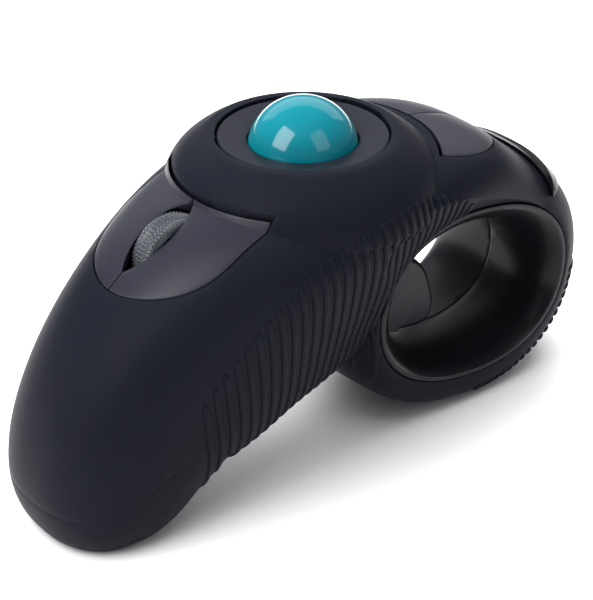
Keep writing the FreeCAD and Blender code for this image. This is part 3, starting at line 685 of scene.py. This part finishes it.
@dataclass
class BallGroup(Assembly):
    """Trackball, cup, bearings and retaining ring."""

    cuts: int = 31

    def build(self) -> None:
        """Dress the ball group."""
        self.make_ball()
        self.finish(("ball_cup",), "inner_black")
        self.finish(("cup_bearings",), "ceramic", 0.0)
        self.finish(("retaining_ring",), "ring_satin", 0.15 * MM)

    def make_ball(self) -> None:
        """Replace the faceted ball by a fine quad sphere of the same size."""
        low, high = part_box("trackball")
        centre, radius = (low + high) / 2, (high.z - low.z) / 2
        form = bmesh.new()
        bmesh.ops.create_cube(form, size=2.0)
        bmesh.ops.subdivide_edges(form, edges=form.edges[:], cuts=self.cuts, use_grid_fill=True)
        points = []
        for vertex in form.verts:
            bent = Vector([math.tan(0.25 * math.pi * part) for part in vertex.co])
            points.append(centre + bent.normalized() * radius)
        faces = [tuple(vertex.index for vertex in face.verts) for face in form.faces]
        form.free()
        ball = new_piece("trackball_polished", points, faces, "trackball",
                         self.finishes["ball_gloss"])
        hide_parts("trackball")
        LOG.info("trackball_polished")


@dataclass
class Keys(Assembly):
    """Front and rear keys with their pins, switches and plungers."""

    def build(self) -> None:
        """Dress the keys."""
        for row in ("rear", "front"):
            self.finish((f"{row}_left_key", f"{row}_right_key"), "key_satin", 0.28 * MM)
            self.finish((f"{row}_key_pin",), "steel", 0.05 * MM)
            self.finish((f"{row}_left_switch", f"{row}_right_switch"), "inner_black")
            self.finish((f"{row}_left_plunger", f"{row}_right_plunger"), "ivory")


@dataclass
class Wheel(Assembly):
    """Scroll wheel with its tread, axle, bracket, encoder and switch."""

    around: int = 256
    ribs: int = 64
    rib_depth: float = 0.30 * MM
    lanes: tuple[float, float] = (-0.22, 0.22)
    lane_width: float = 0.055
    lane_depth: float = 1.2
    crown: float = 1.5 * MM
    steps: int = 28
    web: tuple[tuple[float, float], ...] = ((0.5, 1.9), (0.17, 2.3))
    hub: tuple[tuple[float, float], ...] = ((0.17, 2.6), (0.5, 2.3), (0.5, 1.0))

    def build(self) -> None:
        """Dress the wheel group."""
        self.make_wheel()
        self.finish(("wheel_axle", "guide_pins"), "steel", 0.05 * MM)
        self.finish(("wheel_bracket",), "inner_black")
        self.finish(("wheel_encoder", "wheel_switch"), "inner_black")
        self.finish(("wheel_plunger",), "ivory")

    def tread(self, share: float, turn: float) -> float:
        """Fall of the tread below the crown at a place.

        Args:
            share: place across the width, from -0.5 to 0.5.
            turn: angle in radians.

        Returns:
            The fall in metres.
        """
        crown = self.crown * (1 - math.sqrt(max(0.0, 1 - (2 * abs(share)) ** 3.2)))
        rib = self.rib_depth * (0.5 - 0.5 * math.cos(self.ribs * turn)) ** 0.6
        lane = min(abs(share - lane) for lane in self.lanes)
        cut = self.rib_depth * self.lane_depth * max(0.0, 1 - (lane / self.lane_width) ** 2)
        return crown + max(rib * max(0.0, 1 - (2.15 * abs(share)) ** 6), cut)

    def make_wheel(self) -> None:
        """Replace the plain wheel by one with a cross-ribbed tread."""
        low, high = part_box("scroll_wheel")
        centre = (low + high) / 2
        radius, width = (high.z - low.z) / 2, high.x - low.x
        shares = [-0.5 + k / self.steps for k in range(self.steps + 1)]
        rows = [(width * share, None, share) for share in shares]
        sides = [(share, radius - deep * MM) for share, deep in self.web]
        sides += [(share, reach * MM) for share, reach in self.hub]
        right = [(width * share, fall, None) for share, fall in sides]
        left = [(-width * share, fall, None) for share, fall in reversed(sides)]
        loop = rows + right + left
        points: list[Vector] = []
        for k in range(self.around):
            turn = 2 * math.pi * k / self.around
            for x, reach, share in loop:
                far = reach if share is None else radius - self.tread(share, turn)
                points.append(centre + Vector((x, far * math.cos(turn), far * math.sin(turn))))
        count = len(loop)
        faces = []
        for k in range(self.around):
            row, after = k * count, ((k + 1) % self.around) * count
            faces += [(row + j, after + j, after + (j + 1) % count, row + (j + 1) % count)
                      for j in range(count)]
        wheel = new_piece("scroll_wheel_ribbed", points, faces, "scroll_wheel", self.finishes["wheel_clear"])
        crease = wheel.modifiers.new("crease", "EDGE_SPLIT")
        crease.split_angle = CREASE_ABOVE
        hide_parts("scroll_wheel")
        LOG.info("scroll_wheel_ribbed")


@dataclass
class Finger(Assembly):
    """Finger liners, and the trigger with its bracket, pin, switch and springs."""

    def build(self) -> None:
        """Dress the finger ring's insides."""
        self.finish(("finger_liner_left", "finger_liner_right"), "liner_gloss", 0.15 * MM, 3e-5)
        self.finish(("trigger",), "trigger_satin", 0.0)
        self.finish(("trigger_bracket", "trigger_switch"), "inner_black")
        self.finish(("trigger_pin", "trigger_springs"), "steel", 0.0)
        self.finish(("trigger_plunger",), "ivory")


@dataclass
class Electronics(Assembly):
    """Board, sensor and chips."""

    def build(self) -> None:
        """Dress the board and what sits on it."""
        self.finish(("main_board",), "board_mask", 0.08 * MM)
        self.finish(("sensor_chip", "controller_chip"), "inner_black", 0.08 * MM)
        self.finish(("sensor_lens",), "lens_clear", 0.05 * MM)
        self.finish(("sensor_lamp",), "lamp_red", 0.0)
        self.finish(("clock_crystal", "radio_module", "board_screws"), "steel", 0.05 * MM)


@dataclass
class Power(Assembly):
    """Cells, tray, contacts and power switch."""

    band_start: float = 11.0 * MM

    def build(self) -> None:
        """Dress the power group."""
        slide = next(joint for joint in frame["joints"] if joint["name"] == "door_slide")
        down = Vector(slide["axis"])
        belly = Vector((0, -down.z, down.y))
        for name, toward in (("left_cell", -1), ("right_cell", 1)):
            middle = centre_of(name)
            edge = middle.dot(belly) + toward * self.band_start
            self.finishes[f"{name}_sleeve"] = Sleeve(f"{name}_sleeve", tuple(belly), edge, toward).make()
            self.finish((name,), f"{name}_sleeve", 0.0)
        self.finish(("battery_tray",), "inner_black", 0.1 * MM)
        self.finish(("battery_contacts",), "steel", 0.03 * MM)
        self.finish(("power_switch",), "inner_black", 0.1 * MM)
        self.finish(("power_slider",), "slider_grey", 0.08 * MM)


# ---- studio -------------------------------------------------------------------------------------------
@dataclass
class Studio:
    """Pale floor, soft boxes and the camera."""

    azimuth: float = 52.0
    elevation: float = 30.5
    distance: float = 0.340
    lens: float = 109.8
    sensor: float = 36.0
    nearest: float = 0.01
    farthest: float = 20.0
    ball_right: float = 1.208 * MM
    ball_above: float = 27.795 * MM
    reach: float = 0.75
    air: tuple[float, ...] = (0.94, 0.96, 1.0, 1.0)
    air_light: float = 0.20
    floor_half: float = 1.3
    floor_drop: float = 0.02 * MM
    boxes: tuple[tuple[str, Triple, float, float, float, bool], ...] = (
        ("window_left", (-0.64, 0.32, 0.70), 0.44, 0.56, 4.2, True),
        ("window_right", (0.57, 0.26, 0.79), 0.40, 0.52, 0.8, True),
        ("backdrop", (0.0, 0.90, -0.43), 1.50, 0.50, 2.2, True),
        ("ceiling", (-0.18, 0.86, 0.42), 1.10, 1.10, 17.0, False),
        ("sky", (-0.30, 0.86, -0.30), 1.10, 1.10, 9.0, False),
    )

    def axes(self) -> tuple[Vector, Vector, Vector]:
        """Turn the camera's bearing round the ball into its three directions.

        Returns:
            Right, up and back.
        """
        turn, rise = math.radians(self.azimuth), math.radians(self.elevation)
        back = Vector((math.sin(turn) * math.cos(rise), -math.cos(turn) * math.cos(rise), math.sin(rise)))
        right = Vector((math.cos(turn), math.sin(turn), 0))
        return right, back.cross(right), back

    def build(self) -> None:
        """Make the floor, the lights and the camera."""
        right, up, back = self.axes()
        target = centre_of("trackball")
        self.make_floor()
        for name, way, width, tall, power, mirrored in self.boxes:
            toward = right * way[0] + up * way[1] + back * way[2]
            lamp = self.make_box(name, target, toward, width, tall, power)
            lamp.visible_glossy = mirrored
        self.make_air()
        self.make_camera(target, right, up, back)

    def make_air(self) -> None:
        """Fill the studio with weak even light, and show it pale behind the floor."""
        world = bpy.data.worlds.new("studio_air")
        world.use_nodes = True
        air = world.node_tree.nodes["Background"]
        air.inputs["Color"].default_value = self.air
        seen = world.node_tree.nodes.new("ShaderNodeLightPath")
        level = world.node_tree.nodes.new("ShaderNodeMapRange")
        level.inputs["To Min"].default_value = self.air_light
        level.inputs["To Max"].default_value = 1.0
        world.node_tree.links.new(seen.outputs["Is Camera Ray"], level.inputs["Value"])
        world.node_tree.links.new(level.outputs["Result"], air.inputs["Strength"])
        bpy.context.scene.world = world
        bpy.context.scene.view_settings.view_transform = "Standard"

    def make_floor(self) -> None:
        """Lay a wide pale floor."""
        shade = Shade("floor_paper")
        tooth = shade.noise(900.0, 2.0)
        shade.set(Base_Color=shade.blend(tooth, (0.86, 0.86, 0.87), (0.88, 0.88, 0.89)), Roughness=0.75)
        mesh = bpy.data.meshes.new("floor")
        half = self.floor_half
        mesh.from_pydata([(-half, -half, 0), (half, -half, 0), (half, half, 0), (-half, half, 0)], [],
                         [(0, 1, 2, 3)])
        floor = bpy.data.objects.new("floor", mesh)
        floor.location.z = -self.floor_drop
        bpy.context.scene.collection.objects.link(floor)
        dress(floor, shade.material)

    def make_box(self, name: str, target: Vector, way: Vector, width: float, tall: float,
                 power: float) -> bpy.types.Object:
        """Hang one soft box that faces the mouse.

        Args:
            name: its name.
            target: what it faces.
            way: direction from the target.
            width: width in metres.
            tall: height in metres.
            power: watts.

        Returns:
            The lamp's object.
        """
        lamp = bpy.data.lights.new(name, "AREA")
        lamp.shape = "RECTANGLE"
        lamp.size, lamp.size_y = width, tall
        lamp.energy = power
        holder = bpy.data.objects.new(name, lamp)
        holder.location = target + way.normalized() * self.reach
        holder.rotation_mode = "QUATERNION"
        holder.rotation_quaternion = (-way).to_track_quat("-Z", "Y")
        bpy.context.scene.collection.objects.link(holder)
        LOG.info("soft box %s", name)
        return holder

    def make_camera(self, target: Vector, right: Vector, up: Vector, back: Vector) -> None:
        """Place the camera, with the ball to the right of its axis and above it.

        Args:
            target: the ball's centre.
            right: camera's right.
            up: camera's up.
            back: from the target to the camera.
        """
        data = bpy.data.cameras.new("studio_camera")
        data.sensor_width = self.sensor
        data.lens = self.lens
        data.clip_start, data.clip_end = self.nearest, self.farthest
        camera = bpy.data.objects.new("studio_camera", data)
        turned = Matrix((right, up, back)).transposed().to_4x4()
        aside = right * self.ball_right + up * self.ball_above
        turned.translation = target + back * self.distance - aside
        camera.matrix_world = turned
        bpy.context.scene.collection.objects.link(camera)
        bpy.context.scene.camera = camera


def make_finishes() -> dict[str, bpy.types.Material]:
    """Build every finish once.

    Returns:
        Finish name to material.
    """
    made: tuple[Any, ...] = (
        Moulded("soft_touch", Tone.SOFT_BLACK, 0.46, 1.0, specular=0.05),
        Moulded("key_satin", Tone.KEY_BLACK, 0.40, 1.2, specular=0.38),
        Moulded("ring_satin", Tone.SOFT_BLACK, 0.40, 0.9, specular=0.17),
        Moulded("liner_gloss", Tone.LINER_BLACK, 0.28, 0.5, specular=0.16),
        Moulded("trigger_satin", Tone.SOFT_BLACK, 0.34, 0.5, specular=0.2),
        Moulded("window_gloss", Tone.WINDOW_BLACK, 0.24, 0.05, specular=0.12),
        Moulded("inner_black", Tone.INNER_BLACK, 0.5, 0.8),
        Moulded("ivory", Tone.IVORY, 0.4, 0.4),
        Moulded("slider_grey", Tone.SLIDER_GREY, 0.45, 0.8),
        Polished("ball_gloss", Tone.TEAL),
        Moulded("ceramic", Tone.CERAMIC, 0.14, 0.05),
        Frosted("wheel_clear", Tone.CLEAR_GREY),
        Frosted("lens_clear", Tone.CERAMIC, 0.05, 0.9),
        Frosted("lamp_red", Tone.LAMP_RED, 0.08, 0.7),
        Metal("steel", Tone.STEEL),
        Circuit("board_mask", Tone.MASK_GREEN),
    )
    return {finish.name: finish.make() for finish in made}


def main() -> None:
    """Build the sub-assemblies and the studio."""
    logging.basicConfig(level=logging.INFO, format="%(message)s")
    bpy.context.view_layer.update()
    finishes = make_finishes()
    for part in (Casing, BallGroup, Keys, Wheel, Finger, Electronics, Power):
        part(finishes).build()
    Studio().build()


if __name__ == "__main__":
    main()
